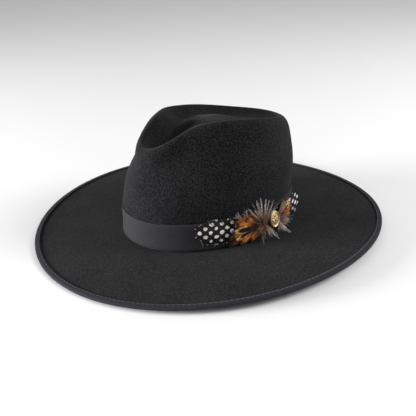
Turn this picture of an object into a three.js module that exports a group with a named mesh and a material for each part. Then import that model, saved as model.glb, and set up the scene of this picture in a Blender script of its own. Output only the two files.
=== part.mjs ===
// Flat brim felt hat with a teardrop crown, a ribbon band, a bound brim edge and a feather trim.
// Millimetres, +Z up, -Y is the front and +X is the wearer's left. The origin is on the surface
// that the brim rests on, under the middle of the hat.

import * as THREE from 'three';

// Steps round the hat, shared by felt, band and binding so that their gaps stay even.
const turnSteps = 72;

// The head opening is a long oval, measured outside the ribbon band.
const bandHalfLength = 102;
const bandHalfWidth = 85;
const frontTaper = 0.012;

// Heights above the surface that the hat rests on.
const bandFoot = 6.75;
const bandHeight = 28;
const bandLift = 0.9;
const bandThickness = 0.9;

// The brim is a flat oval. Its front and back dip and its sides rise a little.
const brimHalfLength = 193;
const brimHalfWidth = 186;
const brimEdgeHeight = -1.3;
const brimEdgeDip = 3.9;
const brimEase = 1.2;

// Felt and seam gaps.
const crownFelt = 2.1;
const brimFelt = 2.3;
const brimFeltAtEdge = 1.8;
const seamGap = 0.3;
const rootFillet = 1.5;

// Ribbon folded over the brim's edge.
const bindingWidth = 5.5;
const bindingThickness = 0.6;
const bindingRound = 1.0;

// The crown's section in each direction from the front, alike on both sides, in even steps of
// angle. R columns are distances from the crown's axis and Z columns heights above the band's
// foot: the wall's shrink over the band, the wall at half and high level, the top ridge with its
// softness, the floor of the teardrop dent and the raised island inside it.
const crownColumns = ['shrink', 'wallR', 'shoulderR', 'ridgeR', 'ridgeZ', 'soft', 'dentR', 'dentZ', 'islandR', 'islandZ'];
const crownRows = [
  [1.5, 96.5, 88.5, 79.0, 96.5, 8.0, 58.0, 77.0, 32.0, 85.0],
  [2.1, 89.5, 75.5, 64.5, 107.0, 8.0, 46.5, 81.0, 28.0, 90.0],
  [3.0, 80.5, 65.0, 52.5, 115.5, 8.5, 36.5, 90.0, 20.5, 97.5],
  [2.2, 77.5, 64.5, 52.5, 116.5, 9.0, 34.5, 98.0, 19.0, 103.5],
  [1.5, 79.5, 72.0, 60.5, 115.0, 9.0, 40.0, 100.0, 22.0, 105.5],
  [1.0, 85.3, 80.8, 69.8, 111.0, 9.0, 47.5, 99.5, 25.0, 107.0],
  [0.4, 93.3, 90.0, 79.3, 105.5, 8.6, 55.5, 97.0, 28.0, 106.5],
  [0.6, 98.7, 96.3, 86.3, 100.5, 8.4, 62.5, 94.0, 31.0, 105.5],
  [0.8, 101.0, 98.5, 90.0, 99.0, 8.0, 66.0, 93.0, 32.0, 105.0],
];
const islandTop = 108;

// The hand-shaped crown stands a little higher on the wearer's left.
const leanHeight = 3;
const leanRadius = 65;
const leanLevel = 100;

// Steps of the crown's section between its control points, from the band up to the axis.
const sectionSteps = [1, 1, 2, 2, 2, 2, 2, 2, 2, 3];

// The feather trim is laid out flat, with s along the band towards the back, z up from the
// band's foot and lift out of the band, and then wrapped round the band, which is a little
// narrower at the trim's middle than at its foot.
const trimAngle = 92;
const bandShrink = 0.75;
const trimMmPerDegree = 1.52;

// A felt pad under the quills, and one broad rounded feather in front of it and one behind.
const backing = {
  from: [-34, 13], to: [28, 13], lifts: [0.9, 0.9], halfWidth: 9, thickness: 1, steps: 12, rootWidth: 0.7,
};
const frontGuinea = {
  from: [-8, 18], to: [-79, 21], lifts: [2.3, 0.6], halfWidth: 13.5, thickness: 1, steps: 11, widest: 0.75,
};
const rearGuinea = {
  from: [10, 17], to: [53, 18], lifts: [2.3, 8], halfWidth: 13.5, thickness: 1, steps: 8, widest: 0.65,
};

// Copper feathers spread over them, and down over both. Each is a star of petals whose tips are
// listed clockwise, seen from outside. Shares run from the hub to a tip, and a fan's last notch
// lies behind its hub.
const frontPheasant = {
  root: [-8, 17], hubLift: 4, tipLift: 3.5, hubHalf: 0.8, hubShare: 0.4,
  notchShare: 0.8, lastNotchShare: -0.25, petalHalf: 3.8, ease: 1,
  tips: [[-22, 4], [-37, 4], [-48, 9.5], [-48, 20.5], [-40, 30], [-27, 34]],
};
const rearPheasant = {
  root: [12, 16], hubLift: 4, tipLift: 9.2, hubHalf: 0.8, hubShare: 0.4,
  notchShare: 0.8, lastNotchShare: -0.25, petalHalf: 4, ease: 1,
  tips: [[25, 34], [33, 26], [36, 13], [31, 4]],
};
const fluff = {
  root: [0, 17], hubLift: 6.8, tipLift: 9, hubHalf: 1.6, hubShare: 0.4,
  notchShare: 0.55, lastNotchShare: 0.55, petalHalf: 0, ease: 3,
  tips: [
    [-30, 41], [-24, 46], [-17, 47], [-10, 47], [-3, 44], [4, 41], [11, 36], [18, 30],
    [23, 19], [21, 9], [14, 3.5], [6, 3], [-3, 3], [-12, 3.5], [-20, 7], [-25, 18],
  ],
};
const petalShoulder = 0.85;

// Oval medal over the down. Its back lies this far out of the band, and its top tilts forward.
const medalWidth = 13.5;
const medalHeight = 20;
const medalCentre = [3.4, 19];
const medalLift = 8.9;
const medalTilt = 17;

const felt = new THREE.MeshStandardMaterial({ color: 0x28282b, roughness: 0.95, metalness: 0 });
const ribbon = new THREE.MeshStandardMaterial({ color: 0x3a3a40, roughness: 0.7, metalness: 0 });
const spottedFeather = new THREE.MeshStandardMaterial({ color: 0x2b2422, roughness: 0.6, metalness: 0 });
const copperFeather = new THREE.MeshStandardMaterial({ color: 0xb5622a, roughness: 0.6, metalness: 0 });
const down = new THREE.MeshStandardMaterial({ color: 0x8a6f60, roughness: 0.9, metalness: 0 });
const blackFelt = new THREE.MeshStandardMaterial({ color: 0x121212, roughness: 0.95, metalness: 0 });
const gold = new THREE.MeshStandardMaterial({ color: 0xd2a85a, roughness: 0.35, metalness: 1 });

const radians = (degrees) => degrees * Math.PI / 180;
const mix = (a, b, t) => a + (b - a) * t;
const turnAngles = Array.from({ length: turnSteps }, (_, j) => (2 * Math.PI * j) / turnSteps);

// A smooth even function of the angle through values at even steps from 0 to 180 degrees.
function cosineTerms(values) {
  const last = values.length - 1;
  const share = (i) => (i === 0 || i === last ? 0.5 : 1);
  return values.map((_, k) => {
    const sum = values.reduce((s, v, j) => s + share(j) * v * Math.cos((Math.PI * j * k) / last), 0);
    return (2 / last) * share(k) * sum;
  });
}

const crownTerms = Object.fromEntries(
  crownColumns.map((name, column) => [name, cosineTerms(crownRows.map((row) => row[column]))]),
);

function crownAt(name, angle) {
  return crownTerms[name].reduce((sum, term, k) => sum + term * Math.cos(k * angle), 0);
}

// Outside radius of the ribbon band at its foot.
function bandRadius(angle) {
  const oval = 1 / Math.hypot(Math.cos(angle) / bandHalfLength, Math.sin(angle) / bandHalfWidth);
  const taper = 1 - frontTaper * Math.sin(angle) ** 2 * (1 + Math.cos(angle));
  return oval * taper;
}

function brimRadius(angle) {
  const width = brimHalfWidth * Math.sin(angle);
  const length = brimHalfLength * Math.cos(angle);
  return Math.hypot(width, length);
}

// A point of the brim's oval lies at the angle of its own circle, so its plan angle is found here.
function brimPoint(angle, inset, height) {
  const across = Math.sin(angle);
  const along = Math.cos(angle);
  const scale = 1 - inset / brimRadius(angle);
  return new THREE.Vector3(brimHalfWidth * across * scale, -brimHalfLength * along * scale, height);
}

function bandPoint(angle, lift, height) {
  const radius = bandRadius(angle) + lift;
  return new THREE.Vector3(radius * Math.sin(angle), -radius * Math.cos(angle), height);
}

const brimMidEdge = (angle) => bandFoot + brimEdgeHeight - brimEdgeDip * Math.cos(2 * angle);

// Catmull-Rom between p1 and p2 for one number.
function curveStep(p0, p1, p2, p3, t) {
  const a = 2 * p1;
  const b = p2 - p0;
  const c = 2 * p0 - 5 * p1 + 4 * p2 - p3;
  const d = 3 * p1 - p0 - 3 * p2 + p3;
  return 0.5 * (a + t * (b + t * (c + t * d)));
}

// Control points of the crown's section, as radius and height above the band's foot.
function crownControls(angle) {
  const at = (name) => crownAt(name, angle);
  const foot = bandRadius(angle) - bandThickness - seamGap;
  const ridgeR = at('ridgeR');
  const ridgeZ = at('ridgeZ');
  const soft = at('soft');
  return [
    [foot, 0],
    [foot - 0.6 * at('shrink'), 12],
    [foot + 0.5 - at('shrink'), 0.27 * ridgeZ],
    [at('wallR'), 0.55 * ridgeZ],
    [at('shoulderR'), 0.8 * ridgeZ],
    [ridgeR + 0.8 * soft, ridgeZ - 0.75 * soft],
    [ridgeR, ridgeZ],
    [ridgeR - 0.95 * soft, ridgeZ - 0.5 * soft],
    [at('dentR'), at('dentZ')],
    [at('islandR'), at('islandZ')],
    [0, islandTop],
  ];
}

// Outer section of the crown from just above the brim to the axis.
function crownSection(angle) {
  const points = crownControls(angle);
  const opposite = crownControls(angle + Math.PI)[points.length - 2];
  const before = [2 * points[0][0] - points[1][0], 2 * points[0][1] - points[1][1]];
  const all = [before, ...points, [-opposite[0], opposite[1]]];
  const section = [];
  sectionSteps.forEach((steps, span) => {
    const [p0, p1, p2, p3] = all.slice(span, span + 4);
    for (let i = 0; i < steps; i += 1) {
      const t = i / steps;
      section.push([0, 1].map((k) => curveStep(p0[k], p1[k], p2[k], p3[k], t)));
    }
  });
  section[0][1] = rootFillet;
  return section;
}

function lean(point) {
  const level = THREE.MathUtils.clamp((point.z - bandFoot) / leanLevel, 0, 1.2);
  point.z += leanHeight * (point.x / leanRadius) * level ** 2;
  return point;
}

// Outer face of the felt as rings, from the brim's edge to the top, and the felt's thickness there.
function feltRings() {
  const edgeInset = bindingThickness + seamGap + seamGap;
  const flat = bindingWidth + 1;
  const brimInsets = [edgeInset, flat, 0.3, 0.6, 0.85];
  const rings = brimInsets.map((value, i) => turnAngles.map((angle) => {
    const edge = brimPoint(angle, i < 2 ? value : flat, 0);
    const root = bandPoint(angle, rootFillet, 0);
    const towardsRoot = i < 2 ? 0 : value;
    const point = edge.lerp(root, towardsRoot);
    const thick = i < 1 ? brimFeltAtEdge : mix(brimFeltAtEdge, brimFelt, Math.min(1, towardsRoot * 3));
    const rise = (1 - towardsRoot) ** brimEase;
    const mid = mix(bandFoot - brimFelt / 2, brimMidEdge(angle), rise);
    point.z = mid + thick / 2;
    return point;
  }));
  const thickness = [brimFeltAtEdge, brimFeltAtEdge, brimFelt, brimFelt, brimFelt];
  const footOffset = bandThickness + seamGap;
  rings.push(turnAngles.map((angle) => bandPoint(angle, rootFillet - footOffset, bandFoot)));
  rings.push(turnAngles.map((angle) => bandPoint(angle, 0.3 * rootFillet - footOffset, bandFoot + 0.3 * rootFillet)));
  thickness.push(brimFelt, brimFelt);
  const sections = turnAngles.map(crownSection);
  sections[0].forEach((_, i) => {
    rings.push(turnAngles.map((angle, j) => {
      const [radius, height] = sections[j][i];
      return lean(new THREE.Vector3(radius * Math.sin(angle), -radius * Math.cos(angle), bandFoot + height));
    }));
    thickness.push(crownFelt);
  });
  return { rings, thickness };
}

// The same rings moved into the felt by its thickness, square to its outer face.
function innerRings(rings, thickness, top) {
  return rings.map((ring, i) => ring.map((point, j) => {
    const below = rings[Math.max(i - 1, 0)][j];
    const above = i + 1 < rings.length ? rings[i + 1][j] : top;
    const left = ring[(j + turnSteps - 1) % turnSteps];
    const right = ring[(j + 1) % turnSteps];
    const inward = above.clone().sub(below).cross(right.clone().sub(left)).normalize();
    return point.clone().addScaledVector(inward, thickness[i]);
  }));
}

// Index lists for rings of equal length that are joined one to the next.
function joinRings(ringCount, ringLength, closed) {
  const index = [];
  const pairs = closed ? ringCount : ringCount - 1;
  for (let i = 0; i < pairs; i += 1) {
    const next = (i + 1) % ringCount;
    for (let j = 0; j < ringLength; j += 1) {
      const a = i * ringLength + j;
      const b = i * ringLength + ((j + 1) % ringLength);
      const c = next * ringLength + ((j + 1) % ringLength);
      const d = next * ringLength + j;
      index.push(a, b, c, a, c, d);
    }
  }
  return index;
}

// A closed geometry from points and triangles, turned so that its faces point out.
function closedGeometry(points, index) {
  let volume = 0;
  for (let i = 0; i < index.length; i += 3) {
    const [a, b, c] = [points[index[i]], points[index[i + 1]], points[index[i + 2]]];
    volume += a.dot(b.clone().cross(c));
  }
  const facing = volume > 0 ? index : index.slice().reverse();
  const geometry = new THREE.BufferGeometry();
  geometry.setAttribute('position', new THREE.Float32BufferAttribute(points.flatMap((p) => p.toArray()), 3));
  geometry.setIndex(facing);
  return geometry;
}

function feltBody() {
  const { rings, thickness } = feltRings();
  const top = new THREE.Vector3(0, 0, bandFoot + islandTop);
  const inner = innerRings(rings, thickness, top);
  const innerTop = top.clone();
  innerTop.z -= crownFelt;
  const loops = [...inner.slice().reverse(), ...rings];
  const points = [...loops.flat(), innerTop, top];
  const index = joinRings(loops.length, turnSteps, false);
  const innerPole = points.length - 2;
  const outerPole = points.length - 1;
  const lastRing = (loops.length - 1) * turnSteps;
  for (let j = 0; j < turnSteps; j += 1) {
    const next = (j + 1) % turnSteps;
    index.push(innerPole, next, j);
    index.push(outerPole, lastRing + j, lastRing + next);
  }
  return { geometry: closedGeometry(points, index), rings };
}

// A ring swept round the hat from a closed section at each angle.
function sweptRing(sectionAt) {
  const loops = turnAngles.map((angle, j) => sectionAt(angle, j));
  return closedGeometry(loops.flat(), joinRings(loops.length, loops[0].length, true));
}

// Where the felt wall stands at a height, read between the felt's own rings.
function wallRadiusAt(rings, j, height) {
  const column = rings.map((ring) => ring[j]);
  const above = column.findIndex((p, i) => i > 6 && p.z >= height);
  const [low, high] = [column[above - 1], column[above]];
  const t = (height - low.z) / (high.z - low.z);
  return mix(Math.hypot(low.x, low.y), Math.hypot(high.x, high.y), t);
}

function hatBand(rings) {
  const heights = [bandLift, bandHeight * 0.4, bandHeight * 0.7, bandHeight + bandLift];
  return sweptRing((angle, j) => {
    const at = (height, lift) => {
      const radius = wallRadiusAt(rings, j, bandFoot + Math.max(height, rootFillet + 0.1)) + lift;
      return new THREE.Vector3(radius * Math.sin(angle), -radius * Math.cos(angle), bandFoot + height);
    };
    const inside = heights.map((height) => at(height, seamGap));
    const outside = heights.map((height) => at(height, seamGap + bandThickness)).reverse();
    return [...inside, ...outside];
  });
}

function brimBinding() {
  const half = brimFeltAtEdge / 2 + seamGap + bindingThickness;
  const channel = half - bindingThickness;
  const section = [
    [bindingWidth, half], [bindingRound, half], [0, half - bindingRound], [0, bindingRound - half],
    [bindingRound, -half], [bindingWidth, -half],
    [bindingWidth, -channel], [bindingThickness, -channel], [bindingThickness, channel], [bindingWidth, channel],
  ];
  return sweptRing((angle) => section.map(([inset, height]) => {
    const level = Math.max(brimMidEdge(angle) + height, 0);
    return brimPoint(angle, inset, level);
  }));
}

// From the trim's flat layout to its place round the band.
function onBand(s, z, lift) {
  return bandPoint(radians(trimAngle + s / trimMmPerDegree), lift - bandShrink, bandFoot + z);
}

// A flat lock or vane: a lens section that follows a straight or bent midline in the trim's layout.
// It is widest at the given share of its length and rounds off from there to its tip.
const fullLens = [[-1, 0], [-0.5, 0.5], [0.5, 0.5], [1, 0], [0.5, -0.5], [-0.5, -0.5]];
const thinLens = [[-1, 0], [0, 0.5], [1, 0], [0, -0.5]];

function vane({ from, to, lifts, halfWidth, thickness, lens = thinLens, widest = 0.6, rootWidth = 0.4, steps = 5 }) {
  const [s0, z0] = from;
  const [s1, z1] = to;
  const length = Math.hypot(s1 - s0, z1 - z0);
  const [acrossS, acrossZ] = [-(z1 - z0) / length, (s1 - s0) / length];
  const widthAt = (t) => {
    if (t < widest) return mix(rootWidth, 1, Math.sin((Math.PI / 2) * (t / widest)));
    const past = (t - widest) / (1 - widest);
    return Math.max(0.2, Math.sqrt(1 - past * past));
  };
  const loops = Array.from({ length: steps }, (_, i) => {
    const t = Math.sin((Math.PI / 2) * (i / (steps - 1)));
    const width = halfWidth * widthAt(t);
    return lens.map(([across, out]) => onBand(
      mix(s0, s1, t) + acrossS * across * width,
      mix(z0, z1, t) + acrossZ * across * width,
      mix(lifts[0], lifts[1], t) + out * thickness,
    ));
  });
  const sides = lens.length;
  const index = joinRings(steps, sides, false);
  const lastLoop = (steps - 1) * sides;
  for (let k = 1; k < sides - 1; k += 1) {
    index.push(0, k + 1, k);
    index.push(lastLoop, lastLoop + k, lastLoop + k + 1);
  }
  return closedGeometry(loops.flat(), index);
}

// Petals or pointed locks round a hub, made as one star: the rim runs over each tip and down to
// the notch before the next, and the body thickens towards the hub.
function burst({ root, tips, hubLift, tipLift, hubHalf, hubShare, notchShare, lastNotchShare, petalHalf, ease }) {
  const between = (a, b, t) => a.map((value, k) => mix(value, b[k], t));
  const rim = tips.flatMap((tip, i) => {
    const share = i + 1 < tips.length ? notchShare : lastNotchShare;
    const notch = between(root, between(tip, tips[(i + 1) % tips.length], 0.5), share);
    const tipAndNotch = [{ at: tip, share: 1 }, { at: notch, share: Math.max(share, 0) }];
    if (petalHalf === 0) return tipAndNotch;
    const length = Math.hypot(tip[0] - root[0], tip[1] - root[1]);
    const [acrossS, acrossZ] = [-(tip[1] - root[1]) / length, (tip[0] - root[0]) / length];
    const shoulder = (side) => {
      const [s, z] = between(root, tip, petalShoulder);
      return { at: [s + side * petalHalf * acrossS, z + side * petalHalf * acrossZ], share: petalShoulder };
    };
    return [shoulder(1), tipAndNotch[0], shoulder(-1), tipAndNotch[1]];
  });
  const ringAt = (ringShare, out) => rim.map(({ at, share }) => onBand(
    ...between(root, at, ringShare),
    mix(hubLift, tipLift, (share * ringShare) ** ease) + out,
  ));
  const rings = [ringAt(hubShare, -hubHalf * 0.8), ringAt(1, 0), ringAt(hubShare, hubHalf * 0.8)];
  const points = [...rings.flat(), onBand(...root, hubLift - hubHalf), onBand(...root, hubLift + hubHalf)];
  const index = joinRings(rings.length, rim.length, false);
  const [back, front] = [points.length - 2, points.length - 1];
  const lastRing = (rings.length - 1) * rim.length;
  for (let j = 0; j < rim.length; j += 1) {
    const next = (j + 1) % rim.length;
    index.push(back, next, j);
    index.push(front, lastRing + j, lastRing + next);
  }
  return closedGeometry(points, index);
}

// A flat-backed oval medal with a raised rim and a low dome.
function medal() {
  const profile = [[0, 0], [0.92, 0], [1, 0.5], [1, 1.4], [0.9, 1.9], [0.78, 1.3], [0.5, 1.9], [0, 2.3]];
  const points = profile.map(([share, height]) => new THREE.Vector2(share * medalWidth / 2, height));
  const geometry = new THREE.LatheGeometry(points, 18);
  geometry.rotateX(Math.PI / 2);
  geometry.scale(1, medalHeight / medalWidth, 1);
  geometry.rotateZ(radians(medalTilt));
  return geometry;
}

const hat = new THREE.Group();

function addPiece(name, geometry, material) {
  const piece = new THREE.Mesh(geometry, material);
  piece.name = name;
  hat.add(piece);
  return piece;
}

const body = feltBody();
addPiece('felt_body', body.geometry, felt);
addPiece('hat_band', hatBand(body.rings), ribbon);
addPiece('brim_binding', brimBinding(), ribbon);

addPiece('feather_backing', vane(backing), blackFelt);
addPiece('front_guinea_plume', vane(frontGuinea), spottedFeather);
addPiece('rear_guinea_plume', vane(rearGuinea), spottedFeather);
addPiece('front_pheasant_plume', burst(frontPheasant), copperFeather);
addPiece('rear_pheasant_plume', burst(rearPheasant), copperFeather);
addPiece('fluff_tuft', burst(fluff), down);

const badge = addPiece('oval_badge', medal(), gold);
const badgePlace = onBand(...medalCentre, medalLift);
badge.position.copy(badgePlace);
badge.rotation.set(Math.PI / 2, 0, radians(trimAngle + medalCentre[0] / trimMmPerDegree), 'ZYX');

export default hat;
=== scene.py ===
import math
import random

import bmesh
import bpy
import numpy as np
from mathutils import Matrix, Vector


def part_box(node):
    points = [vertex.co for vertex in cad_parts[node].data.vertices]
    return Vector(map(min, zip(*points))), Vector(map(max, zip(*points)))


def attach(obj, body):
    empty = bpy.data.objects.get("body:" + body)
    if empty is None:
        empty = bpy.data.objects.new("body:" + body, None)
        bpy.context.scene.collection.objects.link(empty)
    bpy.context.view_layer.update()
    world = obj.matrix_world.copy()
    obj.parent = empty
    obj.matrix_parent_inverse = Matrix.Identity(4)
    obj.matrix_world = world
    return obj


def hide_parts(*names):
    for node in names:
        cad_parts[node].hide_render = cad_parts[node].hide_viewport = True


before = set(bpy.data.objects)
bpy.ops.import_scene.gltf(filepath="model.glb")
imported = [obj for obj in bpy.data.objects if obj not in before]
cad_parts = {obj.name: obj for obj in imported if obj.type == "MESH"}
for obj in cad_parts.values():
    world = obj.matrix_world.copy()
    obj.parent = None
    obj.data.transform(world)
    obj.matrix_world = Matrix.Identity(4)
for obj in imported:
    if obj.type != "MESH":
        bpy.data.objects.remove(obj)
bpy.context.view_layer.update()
print("frame loaded")

mm = 0.001
scene = bpy.context.scene


# Camera, fitted to the photo's outline of the brim, band and crown.
cameraSetup = {
    "azimuth": 48.4,  # degrees round from the front towards the wearer's left
    "elevation": 25.0,
    "roll": -2.97,
    "distance": 0.6775,
    "focalPixels": 601.0,
    "framePixels": 416,
    "offCentre": (0.8, 4.2),  # pixels right and down
    "aim": (0.0, 0.0, 6.75 * mm),
    "sensorWidth": 36.0,
    "nearest": 10 * mm,
}


def makeCamera(setup):
    azimuth = math.radians(setup["azimuth"])
    elevation = math.radians(setup["elevation"])
    roll = math.radians(setup["roll"])
    back = Vector((
        math.sin(azimuth) * math.cos(elevation),
        -math.cos(azimuth) * math.cos(elevation),
        math.sin(elevation),
    ))
    right = Vector((math.cos(azimuth), math.sin(azimuth), 0))
    up = back.cross(right)
    turnedRight = right * math.cos(roll) + up * math.sin(roll)
    turnedUp = up * math.cos(roll) - right * math.sin(roll)
    data = bpy.data.cameras.new("photoCamera")
    data.sensor_width = setup["sensorWidth"]
    data.lens = setup["sensorWidth"] * setup["focalPixels"] / setup["framePixels"]
    data.shift_x = -setup["offCentre"][0] / setup["framePixels"]
    data.shift_y = setup["offCentre"][1] / setup["framePixels"]
    data.clip_start = setup["nearest"]
    camera = bpy.data.objects.new("photoCamera", data)
    axes = Matrix((turnedRight, turnedUp, back)).transposed().to_4x4()
    place = Vector(setup["aim"]) + back * setup["distance"]
    camera.matrix_world = Matrix.Translation(place) @ axes
    scene.collection.objects.link(camera)
    scene.camera = camera


makeCamera(cameraSetup)
print("camera placed")


# Shader maths: a wrapped socket, so that values are worked out as expressions.
class Value:
    def __init__(self, tree, socket):
        self.tree = tree
        self.socket = socket

    def calc(self, operation, *items):
        node = self.tree.nodes.new("ShaderNodeMath")
        node.operation = operation
        for place, item in enumerate(items):
            plug(self.tree, item, node.inputs[place])
        return Value(self.tree, node.outputs[0])

    def __add__(self, other):
        return self.calc("ADD", self, other)

    def __radd__(self, other):
        return self.calc("ADD", other, self)

    def __sub__(self, other):
        return self.calc("SUBTRACT", self, other)

    def __rsub__(self, other):
        return self.calc("SUBTRACT", other, self)

    def __mul__(self, other):
        return self.calc("MULTIPLY", self, other)

    def __truediv__(self, other):
        return self.calc("DIVIDE", self, other)

    def __pow__(self, other):
        return self.calc("POWER", self, other)

    def sine(self):
        return self.calc("SINE", self)

    def floor(self):
        return self.calc("FLOOR", self)

    def wrapped(self):
        return self.calc("FRACT", self)

    def most(self, other):
        return self.calc("MAXIMUM", self, other)


def plug(tree, item, socket):
    if isinstance(item, Value):
        tree.links.new(item.socket, socket)
    elif isinstance(item, tuple) and len(item) == 3 and socket.type == "RGBA":
        socket.default_value = (*item, 1)
    else:
        socket.default_value = item


class Finish:
    def __init__(self, name, fixed=None):
        self.material = bpy.data.materials.new(name)
        self.material.use_nodes = True
        self.tree = self.material.node_tree
        self.shader = self.tree.nodes["Principled BSDF"]
        for socket, value in (fixed or {}).items():
            self.shader.inputs[socket].default_value = value

    def node(self, kind, settings=None, inputs=None, output=0):
        node = self.tree.nodes.new(kind)
        for key, value in (settings or {}).items():
            setattr(node, key, value)
        for key, value in (inputs or {}).items():
            plug(self.tree, value, node.inputs[key])
        return Value(self.tree, node.outputs[output])

    def place(self):
        return self.node("ShaderNodeTexCoord", output="Object")

    def noise(self, scale, detail=2.0, where=None):
        inputs = {"Scale": scale, "Detail": detail, "Vector": where or self.place()}
        return self.node("ShaderNodeTexNoise", None, inputs, "Fac")

    def stretched(self, scales, where=None):
        return self.node("ShaderNodeMapping", None, {"Vector": where or self.place(), "Scale": scales})

    def attributeVector(self, name):
        return self.node("ShaderNodeAttribute", {"attribute_name": name}, None, "Vector")

    def attribute(self, name):
        vector = self.attributeVector(name)
        split = self.tree.nodes.new("ShaderNodeSeparateXYZ")
        self.tree.links.new(vector.socket, split.inputs[0])
        return [Value(self.tree, split.outputs[i]) for i in range(3)]

    def mix(self, share, first, second):
        # In a Mix node, sockets 6 and 7 are the two colours and output 2 is their mix.
        return self.node("ShaderNodeMix", {"data_type": "RGBA"}, {0: share, 6: first, 7: second}, 2)

    def step(self, value, span):
        inputs = {0: value, 1: span[0], 2: span[1]}
        return self.node("ShaderNodeMapRange", {"interpolation_type": "SMOOTHSTEP"}, inputs)

    def bump(self, height, distance, strength=1.0):
        inputs = {"Height": height, "Distance": distance, "Strength": strength}
        self.feed("Normal", self.node("ShaderNodeBump", None, inputs))

    def feed(self, socket, value):
        plug(self.tree, value, self.shader.inputs[socket])


# In all the looks, noise scales are per metre, and a span is where a soft step starts and ends.
feltLook = {
    "light": (0.0205, 0.0205, 0.0222),
    "dark": (0.0020, 0.0020, 0.0024),
    "toneSpan": (0.40, 0.63),
    "lint": (0.100, 0.100, 0.106),
    "lintSpan": (0.57, 0.72),
    "lintShare": 0.20,
    "lintScale": 858.0,
    "grainScale": 780.0,
    "speckScale": 1794.0,
    "cloudScale": 30.0,
    "cloudShare": 0.14,
    "toneWeights": (0.6, 0.4),  # of the grain and the specks
    "reliefWeights": (0.6, 0.5),
    "roughness": 0.88,
    "napDepth": 0.30 * mm,
    "napStrength": 0.8,
    "fixed": {"Sheen Weight": 0.05, "Sheen Roughness": 0.5, "Specular IOR Level": 0.08},
}


def feltFinish(look):
    finish = Finish("woolFelt", look["fixed"])
    grain = finish.noise(look["grainScale"], 3.0)
    speck = finish.noise(look["speckScale"])
    clouds = finish.noise(look["cloudScale"], 3.0)
    grainTone, speckTone = look["toneWeights"]
    tone = grain * grainTone + speck * speckTone + (clouds - 0.5) * look["cloudShare"]
    colour = finish.mix(finish.step(tone, look["toneSpan"]), look["dark"], look["light"])
    lint = finish.step(finish.noise(look["lintScale"], 1.0), look["lintSpan"])
    finish.feed("Base Color", finish.mix(lint * look["lintShare"], colour, look["lint"]))
    finish.feed("Roughness", look["roughness"] + grain * (1 - look["roughness"]))
    grainRelief, speckRelief = look["reliefWeights"]
    finish.bump(grain * grainRelief + speck * speckRelief, look["napDepth"], look["napStrength"])
    return finish.material


ribbonLook = {
    "light": (0.0355, 0.0355, 0.0395),
    "dark": (0.0135, 0.0135, 0.0155),
    "toneSpan": (0.15, 0.9),
    "ribPitch": 0.95 * mm,
    "ribDepth": 0.10 * mm,
    "weftPitch": 0.45 * mm,
    "threadScales": (900.0, 900.0, 260.0),
    "wearScale": 45.0,
    "toneWeights": (0.45, 0.35, 0.2),  # of the ribs, the threads and the wear
    "reliefWeights": (0.12, 0.4),  # of the weft and the threads, beside the ribs
    "roughness": 0.85,
    "ribShine": 0.15,
    "ribStrength": 0.9,
    "fixed": {"Sheen Weight": 0.05, "Sheen Roughness": 0.4, "Specular IOR Level": 0.18},
}
bindingLook = {**ribbonLook, "light": (0.029, 0.029, 0.038), "dark": (0.013, 0.013, 0.018)}


def ribbonFinish(name, look):
    finish = Finish(name, look["fixed"])
    along, height, _ = finish.attribute("ribbon")
    rib = (along * (2 * math.pi / look["ribPitch"])).sine() * 0.5 + 0.5
    weft = (height * (2 * math.pi / look["weftPitch"])).sine()
    thread = finish.noise(1.0, 2.0, finish.stretched(look["threadScales"]))
    wear = finish.noise(look["wearScale"])
    ribTone, threadTone, wearTone = look["toneWeights"]
    tone = rib * ribTone + thread * threadTone + wear * wearTone
    finish.feed("Base Color", finish.mix(finish.step(tone, look["toneSpan"]), look["dark"], look["light"]))
    finish.feed("Roughness", look["roughness"] - rib * look["ribShine"])
    weftRelief, threadRelief = look["reliefWeights"]
    relief = rib + weft * weftRelief + thread * threadRelief
    finish.bump(relief, look["ribDepth"], look["ribStrength"])
    return finish.material


# Barbs of any feather get the same fine bump.
barbBump = {"scale": 2500.0, "depth": 0.05 * mm}

spotLook = {
    "ground": (0.012, 0.0095, 0.0085),
    "streak": (0.050, 0.036, 0.028),
    "edge": (0.33, 0.32, 0.31),
    "spot": (0.94, 0.93, 0.92),
    "pitch": 10.4 * mm,
    "row": 4.6 * mm,
    "radius": 2.05 * mm,
    "radiusSpread": 1.6 * mm,
    "wanderScale": 150.0,
    "wanderShare": 0.3,
    "ragged": 1.2 * mm,
    "raggedScale": 900.0,
    "sideShrink": 0.8 * mm,
    "softEdge": (-0.2 * mm, 0.2 * mm),
    "streakSpan": (0.55, 1.0),
    "looseSpan": (0.8, 0.85),
    "rimSpan": (1.0, 1.1),
    "rimFray": 0.15,
    "rimShare": 0.6,
    "fixed": {"Roughness": 0.6, "Specular IOR Level": 0.15},
}


def guineaFinish(look):
    finish = Finish("guineaFeather", look["fixed"])
    along, across, kind = finish.attribute("feather")
    fray, _, aside = finish.attribute("barb")
    # Rows of spots, every other row moved on by half a pitch.
    level = across / look["row"] + 0.5
    odd = (level.floor() * 0.5).wrapped()
    column = along / look["pitch"] + odd
    wander = finish.noise(look["wanderScale"], 1.0) - 0.5
    ragged = (finish.noise(look["raggedScale"], 1.0) - 0.5) * look["ragged"]
    gapAlong = (column.wrapped() - 0.5 + wander * look["wanderShare"]) * look["pitch"]
    gapAcross = (level.wrapped() - 0.5) * look["row"]
    centreGap = (gapAlong * gapAlong + gapAcross * gapAcross) ** 0.5
    gap = centreGap + ragged + aside * aside * look["sideShrink"]
    size = look["radius"] + wander * look["radiusSpread"]
    spot = finish.step(size - gap, look["softEdge"])
    ground = finish.mix(finish.step(fray, look["streakSpan"]), look["ground"], look["streak"])
    loose = finish.step(kind, look["looseSpan"])
    rim = finish.step(aside + fray * look["rimFray"], look["rimSpan"]) * look["rimShare"]
    body = finish.mix(rim.most(loose), ground, look["edge"])
    finish.feed("Base Color", finish.mix(spot * (1 - loose), body, look["spot"]))
    finish.bump(finish.noise(barbBump["scale"], 1.0), barbBump["depth"])
    return finish.material


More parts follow.
